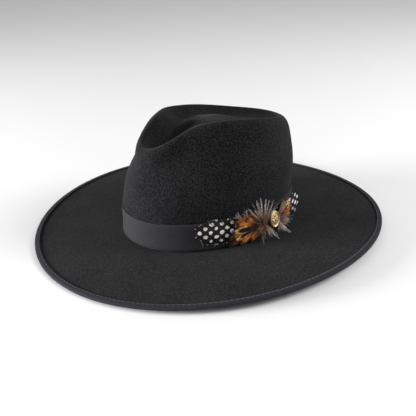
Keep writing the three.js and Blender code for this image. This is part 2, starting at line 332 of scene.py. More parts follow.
# The heart is an oval round one place on the feather, and the rings are drawn round it in its
# own half width, from where they start to where they end.
copperLook = {
    "copper": (0.57, 0.155, 0.031),
    "bright": (0.80, 0.28, 0.064),
    "chestnut": (0.21, 0.068, 0.028),
    "dusk": (0.26, 0.17, 0.125),
    "shade": (0.060, 0.026, 0.013),
    "buff": (0.80, 0.50, 0.17),
    "black": (0.010, 0.008, 0.008),
    "blue": (0.012, 0.060, 0.130),
    "brightSpan": (0.3, 0.7),
    "chestnutSpan": (0.12, 0.45),
    "copperSpan": (0.35, 0.5),
    "shadeSpan": (0.36, 0.60),
    "markedSpan": (0.7, 0.76),
    "heartPlace": 0.60,
    "heartReach": 0.24,
    "heartSpread": 0.52,
    "heartEdge": (0.80, 1.0),
    "ringsAhead": (0.50, 0.60),
    "buffRing": ((0.95, 1.08), (1.40, 1.52)),
    "darkRing": ((1.45, 1.55), (1.75, 1.90)),
    "darkShare": 0.9,
    "tipSpan": (0.86, 0.93),
    "sideSpan": (0.54, 0.80),
    "edgeShare": 0.88,
    "streakScale": 700.0,
    "streakStretch": (0.25, 1.0, 60.0),
    "streakSpan": (0.50, 0.60),
    "streakShare": 0.74,
    "fleckSpan": (0.88, 0.91),
    "fleckKind": (0.97, 0.99),
    "fleckSide": (-0.4 * mm, 0.1 * mm),
    "wobbleScale": 450.0,
    "wobbles": {"kind": 0.3, "shade": 0.25, "oval": 0.35, "tip": 0.22, "side": 0.45},
    "tipSlant": 0.10,
    "patchScale": 130.0,
    "fixed": {"Roughness": 0.6, "Specular IOR Level": 0.18},
}


def pheasantFinish(look):
    finish = Finish("pheasantFeather", look["fixed"])
    fray, along, aside = finish.attribute("barb")
    _, across, kind = finish.attribute("feather")
    wobble = finish.noise(look["wobbleScale"]) - 0.5
    wobbles = {key: wobble * share for key, share in look["wobbles"].items()}
    patch = finish.noise(look["patchScale"], 1.0)

    def ring(oval, spans):
        return finish.step(oval, spans[0]) * (1 - finish.step(oval, spans[1]))

    # The plain colours, dark towards the quill.
    brightness = finish.step(fray * 0.5 + patch * 0.5, look["brightSpan"])
    fine = finish.mix(brightness, look["copper"], look["bright"])
    dull = finish.mix(finish.step(kind, look["chestnutSpan"]), look["dusk"], look["chestnut"])
    toned = finish.mix(finish.step(kind + wobbles["kind"], look["copperSpan"]), dull, fine)
    warm = finish.mix(finish.step(along + wobbles["shade"], look["shadeSpan"]), look["shade"], toned)

    # The heart and its rings, on the marked feathers only.
    marked = finish.step(kind, look["markedSpan"])
    reach = (along - look["heartPlace"]) / look["heartReach"]
    spread = aside / look["heartSpread"]
    oval = (reach * reach + spread * spread) ** 0.5 + wobbles["oval"]
    heart = 1 - finish.step(oval, look["heartEdge"])
    ahead = finish.step(along, look["ringsAhead"])
    buffed = finish.mix(ring(oval, look["buffRing"]) * ahead * marked, warm, look["buff"])
    darkRing = ring(oval, look["darkRing"]) * ahead * marked
    ringed = finish.mix(darkRing * look["darkShare"], buffed, look["black"])
    hearted = finish.mix(heart * marked, ringed, look["black"])

    # Dark sides and tips on the plain feathers, dark streaks on all, and a blue fleck on one.
    tipShade = finish.step(along + aside * look["tipSlant"] + wobbles["tip"], look["tipSpan"])
    sideShade = finish.step(aside + wobbles["side"], look["sideSpan"])
    plainEdge = sideShade.most(tipShade) * (1 - marked) * look["edgeShare"]
    stretched = finish.stretched(look["streakStretch"], finish.attributeVector("feather"))
    streak = finish.step(finish.noise(look["streakScale"], 1.0, stretched), look["streakSpan"])
    streaked = finish.mix(plainEdge.most(streak * look["streakShare"]), hearted, look["black"])
    tipFleck = finish.step(along, look["fleckSpan"]) * finish.step(kind, look["fleckKind"])
    fleck = tipFleck * finish.step(across, look["fleckSide"])
    finish.feed("Base Color", finish.mix(fleck, streaked, look["blue"]))
    finish.bump(finish.noise(barbBump["scale"], 1.0), barbBump["depth"])
    return finish.material


downLook = {
    "root": (0.150, 0.064, 0.030),
    "middle": (0.47, 0.275, 0.180),
    "tip": (0.80, 0.78, 0.76),
    "lowerSpan": (0.0, 0.45),
    "upperSpan": (0.42, 0.95),
    "toneShare": 1.05,
    "chanceShare": 0.75,
    "roughness": 0.6,
    "roughnessSpread": 0.3,
    "fixed": {"Sheen Weight": 0.2},
}


def downFinish(look):
    finish = Finish("marabouDown", look["fixed"])
    reach, tone, chance = finish.attribute("barb")
    light = reach + (tone - 0.5) * look["toneShare"] + (chance - 0.5) * look["chanceShare"]
    lower = finish.mix(finish.step(light, look["lowerSpan"]), look["root"], look["middle"])
    finish.feed("Base Color", finish.mix(finish.step(light, look["upperSpan"]), lower, look["tip"]))
    finish.feed("Roughness", look["roughness"] + chance * look["roughnessSpread"])
    return finish.material


padLook = {
    "dark": (0.004, 0.004, 0.004),
    "light": (0.014, 0.014, 0.014),
    "fuzzScale": 1500.0,
    "fuzzDepth": 0.2 * mm,
    "fixed": {"Roughness": 0.95, "Sheen Weight": 0.2},
}


def padFinish(look):
    finish = Finish("backingFelt", look["fixed"])
    fuzz = finish.noise(look["fuzzScale"], 3.0)
    finish.feed("Base Color", finish.mix(fuzz, look["dark"], look["light"]))
    finish.bump(fuzz, look["fuzzDepth"])
    return finish.material


giltLook = {
    "gilt": (0.98, 0.76, 0.45),
    "tarnish": (0.72, 0.51, 0.27),
    "tarnishScale": 420.0,
    "tarnishSpan": (0.42, 0.68),
    "tarnishShare": 0.4,
    "hollow": (0.27, 0.16, 0.07),
    "hollowSpan": (0.2, 0.75),
    "hollowShare": 0.5,
    "roughness": 0.36,
    "tarnishRoughness": 0.2,
    "hollowRoughness": 0.15,
    "grainScale": 2200.0,
    "grainDepth": 0.06 * mm,
    "grainStrength": 0.6,
    "fixed": {"Metallic": 1.0},
}


def giltFinish(look):
    finish = Finish("giltMetal", look["fixed"])
    tarnish = finish.step(finish.noise(look["tarnishScale"], 4.0), look["tarnishSpan"])
    _, height, _ = finish.attribute("relief")
    hollow = 1 - finish.step(height, look["hollowSpan"])
    worn = finish.mix(tarnish * look["tarnishShare"], look["gilt"], look["tarnish"])
    finish.feed("Base Color", finish.mix(hollow * look["hollowShare"], worn, look["hollow"]))
    duller = tarnish * look["tarnishRoughness"] + hollow * look["hollowRoughness"]
    finish.feed("Roughness", duller + look["roughness"])
    finish.bump(finish.noise(look["grainScale"]), look["grainDepth"], look["grainStrength"])
    return finish.material


threadLook = {
    "dark": (0.035, 0.035, 0.042),
    "light": (0.070, 0.070, 0.082),
    "twistScale": 3000.0,
    "twistDepth": 0.08 * mm,
    "fixed": {"Roughness": 0.6, "Sheen Weight": 0.3},
}


def threadFinish(look):
    finish = Finish("stitchThread", look["fixed"])
    twist = finish.noise(look["twistScale"], 1.0)
    finish.feed("Base Color", finish.mix(twist, look["dark"], look["light"]))
    finish.bump(twist, look["twistDepth"])
    return finish.material


finishes = {
    "wool_felt": feltFinish(feltLook),
    "grosgrain_ribbon": ribbonFinish("grosgrainRibbon", ribbonLook),
    "binding_ribbon": ribbonFinish("bindingRibbon", bindingLook),
    "guinea_feather": guineaFinish(spotLook),
    "pheasant_feather": pheasantFinish(copperLook),
    "marabou_down": downFinish(downLook),
    "backing_felt": padFinish(padLook),
    "gilt_metal": giltFinish(giltLook),
    "thread": threadFinish(threadLook),
}
print("finishes made")


def settle(piece, slotName, finish=None, replaced=None):
    piece.data.materials.clear()
    piece.data.materials.append(finishes[finish or slotName])
    for polygon in piece.data.polygons:
        polygon.use_smooth = True
    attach(piece, "root")
    if replaced:
        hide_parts(replaced)
    return piece


def addObject(name, mesh):
    piece = bpy.data.objects.new(name, mesh)
    scene.collection.objects.link(piece)
    return piece


def bakeModifiers(piece):
    # The evaluated shape becomes a plain mesh.
    graph = bpy.context.evaluated_depsgraph_get()
    made = bpy.data.meshes.new_from_object(piece.evaluated_get(graph))
    piece.modifiers.clear()
    piece.data = made
    return piece


def points(mesh):
    flat = np.empty(len(mesh.vertices) * 3)
    mesh.vertices.foreach_get("co", flat)
    return flat.reshape(-1, 3)


# The angles up to which two triangles are joined into a quad, and how the rounded shape is fitted.
rounding = {
    "joinFlatness": math.radians(40),
    "joinShape": math.radians(60),
    "fitRounds": 3,
    "fitShare": 0.9,
}


def smoothCopy(node, name, levels, creaseAngle):
    # A merged copy of a CAD node with its quads back, made round by subdivision.
    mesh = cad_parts[node].data.copy()
    work = bmesh.new()
    work.from_mesh(mesh)
    bmesh.ops.remove_doubles(work, verts=work.verts, dist=0.001 * mm)
    bmesh.ops.join_triangles(
        work,
        faces=work.faces,
        angle_face_threshold=rounding["joinFlatness"],
        angle_shape_threshold=rounding["joinShape"],
    )
    crease = work.edges.layers.float.new("crease_edge")
    for edge in work.edges:
        if len(edge.link_faces) == 2 and edge.calc_face_angle() > creaseAngle:
            edge[crease] = 1
    work.to_mesh(mesh)
    work.free()
    piece = addObject(name, mesh)
    rounder = piece.modifiers.new("round", "SUBSURF")
    rounder.levels = levels
    rounder.render_levels = levels
    # The points are pushed out until the rounded shape passes through where they were.
    target = points(mesh)
    control = target.copy()
    for _ in range(rounding["fitRounds"]):
        graph = bpy.context.evaluated_depsgraph_get()
        reached = points(piece.evaluated_get(graph).data)[:len(target)]
        control += (target - reached) * rounding["fitShare"]
        mesh.vertices.foreach_set("co", control.ravel())
        mesh.update()
    return bakeModifiers(piece)


def addVectors(piece, name, values):
    layer = piece.data.attributes.new(name, "FLOAT_VECTOR", "POINT")
    layer.data.foreach_set("vector", np.asarray(values, dtype=np.float32).ravel())


def addRibbonPlaces(piece):
    # How far round the hat and how high each point is, so that the ribs follow the ribbon.
    where = points(piece.data)
    angle = np.arctan2(where[:, 0], -where[:, 1])
    fold = np.abs(angle)
    radius = np.hypot(where[:, 0], where[:, 1]).mean()
    addVectors(piece, "ribbon", np.stack([fold * radius, where[:, 2], 0 * fold], axis=1))


# Rounded pieces: the CAD node, the name, the slot, the levels of subdivision, the angle in degrees
# from which an edge stays sharp, and whether it is ribbon.
roundPieces = [
    ("felt_body", "feltHat", "wool_felt", 2, 60, False),
    ("hat_band", "ribbonBand", "grosgrain_ribbon", 2, 50, True),
    ("brim_binding", "edgeBinding", "binding_ribbon", 2, 50, True),
    ("feather_backing", "quillPad", "backing_felt", 1, 50, False),
]
for node, name, slotName, levels, creaseAngle, ribbon in roundPieces:
    roundPiece = smoothCopy(node, name, levels, math.radians(creaseAngle))
    if ribbon:
        addRibbonPlaces(roundPiece)
    settle(roundPiece, slotName, replaced=node)
print("felt, band, binding and pad made")


# Geometry Nodes trees, built from short lists of nodes.
def newTree(name, sockets):
    tree = bpy.data.node_groups.new(name, "GeometryNodeTree")
    tree.interface.new_socket("Geometry", in_out="INPUT", socket_type="NodeSocketGeometry")
    for label, kind in sockets.items():
        tree.interface.new_socket(label, in_out="INPUT", socket_type=kind)
    tree.interface.new_socket("Geometry", in_out="OUTPUT", socket_type="NodeSocketGeometry")
    return tree, tree.nodes.new("NodeGroupInput"), tree.nodes.new("NodeGroupOutput")


def addNode(tree, kind, links=None, settings=None, values=None):
    node = tree.nodes.new(kind)
    for key, value in (settings or {}).items():
        setattr(node, key, value)
    for key, value in (values or {}).items():
        node.inputs[key].default_value = value
    for key, source in (links or {}).items():
        tree.links.new(source, node.inputs[key])
    return node


def finishTree(tree, source, given, out):
    real = addNode(tree, "GeometryNodeRealizeInstances", {"Geometry": source})
    painted = addNode(tree, "GeometryNodeSetMaterial", {
        "Geometry": real.outputs["Geometry"], "Material": given.outputs["Material"],
    })
    tree.links.new(painted.outputs["Geometry"], out.inputs["Geometry"])
    return tree


def barbTree():
    # Sweeps every line of the input into a fine closed strand, as thick as its points say.
    tree, given, out = newTree("barbs", {"Sides": "NodeSocketInt", "Material": "NodeSocketMaterial"})
    line = addNode(tree, "GeometryNodeMeshToCurve", {"Mesh": given.outputs["Geometry"]})
    thick = addNode(
        tree, "GeometryNodeInputNamedAttribute", None, {"data_type": "FLOAT"}, {"Name": "thick"},
    )
    ring = addNode(tree, "GeometryNodeCurvePrimitiveCircle", {
        "Resolution": given.outputs["Sides"],
    }, values={"Radius": 1.0})
    swept = addNode(tree, "GeometryNodeCurveToMesh", {
        "Curve": line.outputs["Curve"],
        "Profile Curve": ring.outputs["Curve"],
        "Scale": thick.outputs["Attribute"],
    }, values={"Fill Caps": True})
    return finishTree(tree, swept.outputs["Mesh"], given, out)


def stitchTree():
    # Lays a small rounded stitch at even steps along the input line.
    tree, given, out = newTree("stitches", {
        "Spacing": "NodeSocketFloat", "Stitch Size": "NodeSocketVector", "Material": "NodeSocketMaterial",
    })
    line = addNode(tree, "GeometryNodeMeshToCurve", {"Mesh": given.outputs["Geometry"]})
    even = addNode(tree, "GeometryNodeResampleCurve", {
        "Curve": line.outputs["Curve"], "Length": given.outputs["Spacing"],
    }, {"mode": "LENGTH"})
    ball = addNode(tree, "GeometryNodeMeshUVSphere", values={"Segments": 8, "Rings": 6, "Radius": 1.0})
    stitch = addNode(tree, "GeometryNodeTransform", {
        "Geometry": ball.outputs["Mesh"], "Scale": given.outputs["Stitch Size"],
    })
    tangent = addNode(tree, "GeometryNodeInputTangent")
    turn = addNode(
        tree, "FunctionNodeAlignRotationToVector", {"Vector": tangent.outputs[0]}, {"axis": "X"},
    )
    laid = addNode(tree, "GeometryNodeInstanceOnPoints", {
        "Points": even.outputs["Curve"],
        "Instance": stitch.outputs["Geometry"],
        "Rotation": turn.outputs[0],
    })
    return finishTree(tree, laid.outputs["Instances"], given, out)


def runTree(piece, tree, values):
    modifier = piece.modifiers.new("made", "NODES")
    modifier.node_group = tree
    for item in tree.interface.items_tree:
        if item.in_out == "INPUT" and item.name in values:
            modifier[item.identifier] = values[item.name]
    return bakeModifiers(piece)


barbs = barbTree()
stitches = stitchTree()


def linesObject(name, lines):
    # A line holds its points, a thickness for each, and two vectors for each for the finish.
    vertices = np.concatenate([line["points"] for line in lines])
    mesh = bpy.data.meshes.new(name)
    edges = []
    start = 0
    for line in lines:
        count = len(line["points"])
        edges.extend((start + i, start + i + 1) for i in range(count - 1))
        start += count
    mesh.from_pydata(vertices.tolist(), edges, [])
    piece = addObject(name, mesh)
    for key in ("feather", "barb"):
        addVectors(piece, key, np.concatenate([line[key] for line in lines]))
    thick = mesh.attributes.new("thick", "FLOAT", "POINT")
    thick.data.foreach_set("value", np.concatenate([line["thick"] for line in lines]).astype(np.float32))
    return piece


# The stitch row that holds the binding, on both faces of the brim. The brim's edge is highest at
# the sides, by edgeDip above its mean height, and as much lower at the front and the back.
stitchRow = {
    "inset": 4.3 * mm,
    "spacing": 4.6 * mm,
    "size": (1.45 * mm, 0.30 * mm, 0.20 * mm),
    "faceHeight": 1.8 * mm,
    "edgeHeight": 5.45 * mm,
    "edgeDip": 3.9 * mm,
    "steps": 720,
}


def stitchPath(row, side):
    low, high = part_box("brim_binding")
    halfWidth = (high.x - low.x) / 2
    halfLength = (high.y - low.y) / 2
    angle = np.linspace(0, 2 * math.pi, row["steps"], endpoint=False)
    shrink = 1 - row["inset"] / np.hypot(halfWidth * np.sin(angle), halfLength * np.cos(angle))
    middle = row["edgeHeight"] - row["edgeDip"] * np.cos(2 * angle)
    height = np.maximum(middle + side * row["faceHeight"], row["size"][2])
    across = halfWidth * np.sin(angle) * shrink
    ahead = -halfLength * np.cos(angle) * shrink
    return np.stack([across, ahead, height], axis=1)


def stitchPiece(row, name, side):
    path = stitchPath(row, side)
    count = len(path)
    mesh = bpy.data.meshes.new(name)
    mesh.from_pydata(path.tolist(), [(i, (i + 1) % count) for i in range(count)], [])
    piece = addObject(name, mesh)
    runTree(piece, stitches, {
        "Spacing": row["spacing"], "Stitch Size": row["size"], "Material": finishes["thread"],
    })
    return settle(piece, "binding_ribbon", "thread")


stitchPiece(stitchRow, "upperStitches", 1)
stitchPiece(stitchRow, "lowerStitches", -1)
print("stitches laid")


# The feather trim's flat layout: s along the band towards the back, z up from the band's foot,
# lift out of the band.
layout = {
    "bandFoot": 6.75 * mm,
    "halfLength": 102 * mm,
    "halfWidth": 85 * mm,
    "frontTaper": 0.012,
    "angle": math.radians(92),
    "lengthPerRadian": math.degrees(1.52 * mm),
    "shrink": 0.75 * mm,
}


def onBand(s, z, lift):
    angle = layout["angle"] + np.asarray(s) / layout["lengthPerRadian"]
    oval = 1 / np.hypot(np.cos(angle) / layout["halfLength"], np.sin(angle) / layout["halfWidth"])
    taper = 1 - layout["frontTaper"] * np.sin(angle) ** 2 * (1 + np.cos(angle))
    radius = oval * taper + np.asarray(lift) - layout["shrink"]
    height = layout["bandFoot"] + np.asarray(z) + 0 * angle
    return np.stack([radius * np.sin(angle), -radius * np.cos(angle), height], axis=-1)


# How the barbs and the shaft of any feather run. Shares are of a barb's or the shaft's length.
barbShape = {
    "shortest": 0.92,
    "frayedMore": 0.10,
    "curve": 1.4,
    "strayLean": 0.3,
    "strayRise": 0.2,
    "riseShare": 0.5,
    "thinning": 0.55,
    "lastWidth": 0.985,
    "shaftReach": 0.96,
    "shaftSteps": 14,
    "shaftHeight": 0.15 * mm,
    "shaftThinning": 0.75,
}


def vaneWidth(share, widest, rootWidth):
    share = np.clip(share, 0, 1)
    rise = rootWidth + (1 - rootWidth) * np.sin(np.clip(share / widest, 0, 1) * math.pi / 2)
    past = np.clip((share - widest) / (1 - widest), 0, 1)
    return np.where(share < widest, rise, np.sqrt(np.maximum(1 - past ** 2, 0)))


def clumps(count, size, dice):
    # Neighbouring barbs cling together, so each clump shares one lean and one rise.
    leans = []
    for _ in range(count):
        if not leans or dice.random() < 1 / size:
            leans.append((dice.uniform(-1, 1), dice.uniform(-0.3, 1)))
        else:
            leans.append(leans[-1])
    return leans


def featherLines(spec, dice):
    # A shaft and its barbs, in the feather's own length and width, laid on the band.
    root = np.array(spec["root"]) * mm
    tip = np.array(spec["tip"]) * mm
    length = np.linalg.norm(tip - root)
    ahead = (tip - root) / length
    aside = np.array([-ahead[1], ahead[0]])
    lifts = np.array(spec["lifts"]) * mm
    width = spec["halfWidth"] * mm

    def laid(along, across, raised):
        share = along / length
        bent = across + spec["bend"] * mm * np.sin(share * math.pi)
        place = root + np.outer(along, ahead) + np.outer(bent, aside)
        camber = spec["camber"] * mm * (1 - (across / width) ** 2)
        lift = lifts[0] + (lifts[1] - lifts[0]) * share + camber + raised
        return onBand(place[:, 0], place[:, 1], lift)

    def widthAt(share):
        return float(vaneWidth(share, spec["widest"], spec["rootWidth"])) * width

    shape = barbShape
    untidy = spec["untidy"] * mm
    lines = []
    for side in (-1, 1):
        leans = clumps(spec["barbs"], spec["clump"], dice)
        for i, (lean, rise) in enumerate(leans):
            start = (i + dice.random() * 0.5) / spec["barbs"]
            end = min(start + spec["sweep"] * widthAt(start) / length, 1.0)
            wide = widthAt(min(end, shape["lastWidth"]))
            fray = dice.random()
            q = np.linspace(0, 1, spec["barbSteps"]) * (shape["shortest"] + shape["frayedMore"] * fray)
            along = (start + (end - start) * q ** shape["curve"]) * length
            across = side * wide * q
            lean += dice.uniform(-shape["strayLean"], shape["strayLean"])
            rise += dice.uniform(-shape["strayRise"], shape["strayRise"])
            wave = lean * untidy * q ** 2
            raised = rise * untidy * shape["riseShare"] * q ** 2.5
            lines.append({
                "points": laid(along + wave, across, raised),
                "thick": spec["barbThick"] * mm * (1 - shape["thinning"] * q ** 2),
                "feather": np.stack([along, across, 0 * q + spec["kind"]], axis=1),
                "barb": np.stack([0 * q + fray, along / length, np.abs(across) / width], axis=1),
            })
    q = np.linspace(0, shape["shaftReach"], shape["shaftSteps"])
    lines.append({
        "points": laid(q * length, 0 * q, shape["shaftHeight"] * (1 - q)),
        "thick": spec["shaft"] * mm * (1 - shape["shaftThinning"] * q),
        "feather": np.stack([q * length, 0 * q, 0 * q + spec["kind"]], axis=1),
        "barb": np.stack([0 * q, q, 0 * q], axis=1),
    })
    return lines


def featherPiece(name, specs, extra, slotName, node, seed):
    dice = random.Random(seed)
    lines = [line for spec in specs for line in featherLines(spec, dice)]
    lines += [line for row in extra for line in tuftLines(row, dice)]
    piece = linesObject(name, lines)
    runTree(piece, barbs, {"Sides": 3, "Material": finishes[slotName]})
    return settle(piece, slotName, replaced=node)


# Loose strands. A row holds where they start, where they end, how far they spread there,
# how many there are, how light they are, and the length of their side hairs. Sizes are in mm.
tuftShape = {
    "thick": 0.15,
    "thinning": 0.65,
    "rootSpread": (0.96, 0.96, 0.384),
    "tipSpread": (0.5, 0.5, 0.25),
    "bendSpread": 0.22,
    "shortest": 0.5,
    "reachBias": 1.3,
    "steps": 9,
    "hairs": 9,
    "hairPlaces": (0.12, 0.83),
    "hairTurn": (0.3, 0.7),
    "hairRise": (-0.1, 0.3),
    "hairSizes": (0.5, 1.0),
    "hairShrink": 0.45,
    "hairPaler": 0.12,
    "hairThick": 0.055,
    "hairThinning": 0.5,
    "lowest": 1.6,
}


def tuftLines(row, dice):
    start, end, spread, count, tone, hairLength = row
    shape = tuftShape
    start = np.array(start, dtype=float)
    end = np.array(end, dtype=float)
    lines = []

    def lay(places, thick, look):
        places[:, 1] = np.maximum(places[:, 1], shape["lowest"])
        lines.append({
            "points": onBand(places[:, 0] * mm, places[:, 1] * mm, places[:, 2] * mm),
            "thick": thick * mm,
            "feather": look,
            "barb": look,
        })

    for _ in range(count):
        rootDraw = np.array([dice.gauss(0, 1), dice.gauss(0, 1), dice.gauss(0, 1)])
        root = start + rootDraw * shape["rootSpread"]
        reach = 1 - (1 - shape["shortest"]) * dice.random() ** shape["reachBias"]
        tipDraw = np.array([dice.gauss(0, 1), dice.gauss(0, 1), abs(dice.gauss(0, 1))])
        tip = start + (end - start) * reach + tipDraw * spread * shape["tipSpread"]
        bendDraw = np.array([dice.gauss(0, 1), dice.gauss(0, 1), dice.random()])
        middle = (root + tip) / 2 + bendDraw * spread * shape["bendSpread"]
        q = np.linspace(0, 1, shape["steps"])
        path = np.outer((1 - q) ** 2, root) + np.outer(2 * q * (1 - q), middle) + np.outer(q ** 2, tip)
        chance = dice.random()
        look = np.stack([q * reach, 0 * q + tone, 0 * q + chance], axis=1)
        lay(path, shape["thick"] * (1 - shape["thinning"] * q), look)
        firstHair, hairReach = shape["hairPlaces"]
        for i in range(shape["hairs"]):
            at = firstHair + hairReach * (i + dice.random()) / shape["hairs"]
            base = np.array([np.interp(at, q, path[:, axis]) for axis in range(3)])
            heading = math.atan2(tip[1] - root[1], tip[0] - root[0])
            turn = heading + dice.choice((-1, 1)) * dice.uniform(*shape["hairTurn"])
            size = hairLength * dice.uniform(*shape["hairSizes"]) * (1 - shape["hairShrink"] * at)
            rise = dice.uniform(*shape["hairRise"])
            step = np.linspace(0, 1, 3)
            fall = np.outer(step, (math.cos(turn), math.sin(turn), rise))
            paler = at * reach + step * shape["hairPaler"]
            look = np.stack([paler, 0 * step + tone, 0 * step + chance], axis=1)
            lay(base + fall * size, shape["hairThick"] * (1 - shape["hairThinning"] * step), look)
    return lines


# Spotted feathers. Sizes are in mm, and root and tip are places on the trim's flat layout.
guineaFeather = {
    "root": (-8, 18), "tip": (-79, 21), "lifts": (2.2, 0.6),
    "halfWidth": 13.8, "rootWidth": 0.5, "widest": 0.78, "camber": 0.5, "bend": 1.2,
    "barbs": 150, "barbSteps": 8, "barbThick": 0.30, "shaft": 0.55, "sweep": 0.75,
    "clump": 5, "untidy": 0.9, "kind": 0.2,
}
rearGuinea = {
    **guineaFeather,
    "root": (10, 17), "tip": (53, 20), "lifts": (2.2, 9.4),
    "widest": 0.68, "bend": -1.0, "barbs": 100,
}
guineaStrays = [
    ((-45, 30, 2.4), (-47, 37, 3.0), 2.0, 4, 0.95, 0.8),
    ((-52, 30, 2.2), (-53, 36, 2.8), 1.6, 3, 0.95, 0.8),
    ((-66, 30, 1.8), (-67, 35.5, 2.4), 1.5, 4, 0.95, 0.8),
    ((-38, 31, 2.6), (-38, 36, 3.4), 3.0, 10, 0.9, 1.2),
    ((-74, 11, 1.2), (-73, 5, 1.6), 1.5, 3, 0.9, 0.6),
    ((-36, 30, 4.4), (-40, 36, 4.8), 3.0, 26, 0.85, 1.6),
    ((-29, 31, 4.8), (-31, 38, 5.4), 3.0, 24, 0.85, 1.6),
    ((-60, 8, 1.8), (-62, 4.5, 2.4), 2.0, 4, 0.9, 0.8),
]
featherPiece(
    "frontGuineaFeather", [guineaFeather], guineaStrays, "guinea_feather", "front_guinea_plume", 11,
)
featherPiece("rearGuineaFeather", [rearGuinea], [], "guinea_feather", "rear_guinea_plume", 12)
print("guinea feathers laid")

# Copper feathers, from the ones below to the ones on top: tip, its lift, half width, bend and kind.
# A kind near 0 is plain chestnut, 0.5 plain copper and 1 marked with a dark heart and buff rings.
copperFeather = {
    "rootWidth": 0.35, "widest": 0.62, "camber": 0.7,
    "barbs": 64, "barbSteps": 6, "barbThick": 0.27, "shaft": 0.32, "sweep": 0.9,
    "clump": 4, "untidy": 1.0,
}
frontCopper = [
    ((-26, 34), 3.6, 5.4, 1.0, 0.30),
    ((-35, 33.5), 3.5, 5.8, 1.2, 0.55),
    ((-43, 28), 3.5, 6.0, 1.0, 0.50),
    ((-49, 3), 3.6, 5.0, -1.5, 0.36),
    ((-36, 1.5), 3.8, 5.0, -1.0, 0.40),
    ((-24, 1.5), 4.6, 5.0, -1.0, 0.45),
    ((-48, 11), 3.8, 6.0, -0.5, 0.50),
    ((-30, 29), 4.6, 5.0, 1.5, 0.62),
    ((-40, 26), 4.6, 5.4, 1.5, 0.62),
    ((-37, 3), 4.8, 4.6, -1.5, 0.50),
    ((-47, 13), 5.0, 5.0, 0.0, 0.64),
    ((-43, 8), 5.4, 4.8, -1.5, 0.95),
    ((-46, 19), 5.8, 5.2, 1.0, 1.00),
]
rearCopper = [
    ((21, 34), 8.2, 4.6, -1.0, 0.05),
    ((34, 12), 8.6, 4.6, 1.0, 0.35),
    ((31, 4), 8.6, 4.6, 1.0, 0.15),
    ((33, 20), 9.0, 4.8, 0.5, 0.55),
    ((31, 27), 9.2, 4.6, -0.5, 0.90),
    ((26, 33), 9.6, 4.6, -1.0, 1.00),
]


def copperFan(root, rootLift, rows):
    return [
        {
            **copperFeather, "root": root, "tip": tip, "lifts": (rootLift, lift),
            "halfWidth": halfWidth, "bend": bend, "kind": kind,
        }
        for tip, lift, halfWidth, bend, kind in rows
    ]


featherPiece(
    "frontPheasantFeathers", copperFan((-8, 17), 3.9, frontCopper), [], "pheasant_feather",
    "front_pheasant_plume", 21,
)
featherPiece(
    "rearPheasantFeathers", copperFan((12, 16), 4.0, rearCopper), [], "pheasant_feather",
    "rear_pheasant_plume", 22,
)
print("pheasant feathers laid")

# Down in front of the medal and behind it: brown at the quills, pale at the tips.
downTufts = [
    ((-10, 17, 6.0), (-30, 41, 8.0), 1.5, 5, 0.75, 1.0),
    ((-10, 17, 6.0), (-25, 45, 8.5), 1.8, 8, 0.55, 1.6),
    ((-10, 17, 6.5), (-20, 47, 9.0), 1.2, 10, 0.55, 1.8),
    ((-10, 17, 6.5), (-15, 49, 9.0), 0.9, 11, 0.80, 1.8),
    ((-9, 17, 6.5), (-9, 46, 9.5), 1.2, 10, 0.55, 1.8),
    ((-9, 17, 6.5), (-4, 45, 9.5), 1.2, 9, 0.60, 1.6),
    ((-8, 17, 6.5), (2, 41, 9.5), 1.2, 9, 0.65, 1.6),
    ((-8, 17, 6.5), (9, 35, 9.0), 0.9, 6, 0.90, 0.8),
    ((-10, 18, 6.5), (-20, 32, 8.5), 5.0, 34, 0.10, 2.6),
    ((-9, 17, 7.0), (-12, 33, 9.5), 5.0, 44, 0.12, 2.8),
    ((-8, 17, 7.0), (-3, 33, 9.5), 5.0, 36, 0.20, 2.8),
    ((-9, 17, 7.5), (-12, 24, 10.0), 5.0, 40, -0.10, 2.4),
    ((-9, 16, 7.0), (-20, 15, 9.0), 5.0, 30, 0.0, 2.4),
    ((-10, 15, 6.5), (-18, 5, 9.5), 5.0, 22, 0.05, 2.6),
    ((-9, 14, 6.5), (-12, 3, 11.0), 4.5, 22, 0.10, 2.6),
    ((-8, 15, 7.0), (-6, 4, 14.0), 4.0, 26, 0.45, 2.8),
    ((-7, 15, 7.0), (-2, 2, 20.0), 2.0, 12, 0.75, 1.8),
    ((-6, 14, 7.0), (2, 3, 15.0), 2.0, 6, 0.80, 1.6),
    ((-12, 10, 7.0), (-20, 2, 21.0), 0.8, 4, -0.10, 1.0),
    ((10, 17, 6.5), (18, 33, 9.0), 4.0, 30, 0.30, 2.6),
    ((10, 17, 6.5), (23, 31, 9.5), 3.5, 22, 0.35, 2.4),
    ((10, 16, 6.5), (27, 15, 10.0), 5.0, 28, 0.10, 2.6),
    ((10, 14, 7.0), (25, 6, 11.5), 5.0, 24, 0.30, 2.8),
    ((10, 13, 7.0), (12, 3, 14.5), 4.0, 30, 0.50, 2.8),
    ((10, 13, 7.0), (14, 2, 20.5), 2.0, 12, 0.75, 1.8),
]


def downPiece(rows, seed):
    dice = random.Random(seed)
    lines = [line for row in rows for line in tuftLines(row, dice)]
    piece = linesObject("marabouTuft", lines)
    runTree(piece, barbs, {"Sides": 3, "Material": finishes["marabou_down"]})
    return settle(piece, "marabou_down", replaced="fluff_tuft")


downPiece(downTufts, 31)
print("down laid")


